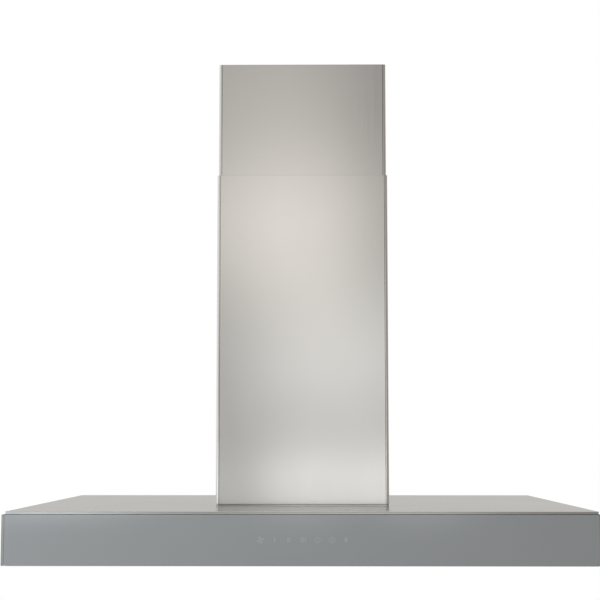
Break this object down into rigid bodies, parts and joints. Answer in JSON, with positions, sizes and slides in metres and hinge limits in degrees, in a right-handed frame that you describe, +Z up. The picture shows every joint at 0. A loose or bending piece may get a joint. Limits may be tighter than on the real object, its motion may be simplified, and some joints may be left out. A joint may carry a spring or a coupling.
{
  "type": "island range hood",
  "caption": "Flat glass-sided canopy hung from the ceiling under a telescoping square flue, with hinged grease filters, blower, damper, lamps and touch controls.",
  "frame": {"origin": "centre of the ceiling plate's top face, the middle of its four screw holes; the hood hangs below it", "axes": "+Z up to the ceiling, +X to the right along the canopy's width when facing the controls, -Y towards the cook at the touch controls"},
  "size_m": [0.914, 0.686, 0.836],
  "materials": {
    "flue_steel": "fine vertical brushing",
    "deck_steel": "fine brushing along the width, almost mirror at a low angle",
    "grey_glass": "polished, painted grey on the back",
    "inner_steel": "satin",
    "filter_steel": "bright satin",
    "galvanised": "zinc coated",
    "tape": "matt foam",
    "bolt_steel": "zinc plated",
    "motor_paint": "satin",
    "aluminium": "cast",
    "capacitor_can": "drawn",
    "board": "solder mask",
    "driver_case": "moulded",
    "lens": "frosted",
    "damper_plastic": "moulded"
  },
  "bodies": {
    "ceiling_frame": {"ceiling_plate": "galvanised", "upper_posts": "galvanised", "upper_flue_front": "flue_steel", "upper_flue_rear": "flue_steel", "upper_flue_left": "flue_steel", "upper_flue_right": "flue_steel"},
    "canopy": {"canopy_deck": "deck_steel", "canopy_skirt": "inner_steel", "bottom_panel": "inner_steel", "glass_front": "grey_glass", "glass_rear": "grey_glass", "glass_left": "grey_glass", "glass_right": "grey_glass", "glass_tape": "tape", "flue_collar": "deck_steel", "lower_posts": "galvanised", "post_braces": "galvanised", "clamp_bolts": "bolt_steel", "blower_box": "galvanised", "scroll_band": "galvanised", "scroll_cheek_front": "galvanised", "scroll_cheek_rear": "galvanised", "motor_bracket": "galvanised", "motor_body": "motor_paint", "capacitor": "capacitor_can", "duct_collar": "galvanised", "damper_spindle": "bolt_steel", "control_board": "board", "driver_box": "driver_case", "junction_box": "galvanised", "junction_lid": "galvanised", "lamp_bezels": "inner_steel", "lamp_lenses": "lens", "lamp_bodies": "aluminium"},
    "lower_flue": {"lower_flue_front": "flue_steel", "lower_flue_rear": "flue_steel", "lower_flue_left": "flue_steel", "lower_flue_right": "flue_steel"},
    "fan": {"fan_wheel": "galvanised", "fan_blades": "galvanised", "motor_shaft": "bolt_steel"},
    "damper_left": {"damper_flap_left": "damper_plastic"},
    "damper_right": {"damper_flap_right": "damper_plastic"},
    "filter_left": {"filter_frame_left": "filter_steel", "filter_baffles_left": "filter_steel"},
    "latch_left": {"filter_latch_left": "filter_steel"},
    "filter_centre": {"filter_frame_centre": "filter_steel", "filter_baffles_centre": "filter_steel"},
    "latch_centre": {"filter_latch_centre": "filter_steel"},
    "filter_right": {"filter_frame_right": "filter_steel", "filter_baffles_right": "filter_steel"},
    "latch_right": {"filter_latch_right": "filter_steel"}
  },
  "joints": [
    {"name": "canopy_drop", "type": "slide", "parent": "ceiling_frame", "child": "canopy", "axis": [0, 0, -1], "range_m": [-0.18, 0.1]},
    {"name": "lower_flue_lift", "type": "slide", "parent": "canopy", "child": "lower_flue", "axis": [0, 0, 1], "range_m": [0, 0.18]},
    {"name": "filter_left_swing", "type": "hinge", "parent": "canopy", "child": "filter_left", "pos_m": [-0.257, 0.2285, -0.8288], "axis": [-1, 0, 0], "range_deg": [-75, 0]},
    {"name": "latch_left_slide", "type": "slide", "parent": "filter_left", "child": "latch_left", "axis": [0, 1, 0], "range_m": [0, 0.007], "stiffness_N_per_m": 400, "springref_m": -0.005},
    {"name": "filter_centre_swing", "type": "hinge", "parent": "canopy", "child": "filter_centre", "pos_m": [0, 0.2285, -0.8288], "axis": [-1, 0, 0], "range_deg": [-75, 0]},
    {"name": "latch_centre_slide", "type": "slide", "parent": "filter_centre", "child": "latch_centre", "axis": [0, 1, 0], "range_m": [0, 0.007], "stiffness_N_per_m": 400, "springref_m": -0.005},
    {"name": "filter_right_swing", "type": "hinge", "parent": "canopy", "child": "filter_right", "pos_m": [0.257, 0.2285, -0.8288], "axis": [-1, 0, 0], "range_deg": [-75, 0]},
    {"name": "latch_right_slide", "type": "slide", "parent": "filter_right", "child": "latch_right", "axis": [0, 1, 0], "range_m": [0, 0.007], "stiffness_N_per_m": 400, "springref_m": -0.005},
    {"name": "fan_spin", "type": "hinge", "parent": "canopy", "child": "fan", "pos_m": [-0.043, 0, -0.61], "axis": [0, 1, 0], "continuous": true},
    {"name": "damper_left_lift", "type": "hinge", "parent": "canopy", "child": "damper_left", "pos_m": [0, 0, -0.464], "axis": [0, 1, 0], "range_deg": [0, 75]},
    {"name": "damper_right_lift", "type": "hinge", "parent": "canopy", "child": "damper_right", "pos_m": [0, 0, -0.464], "axis": [0, -1, 0], "range_deg": [0, 75]}
  ]
}
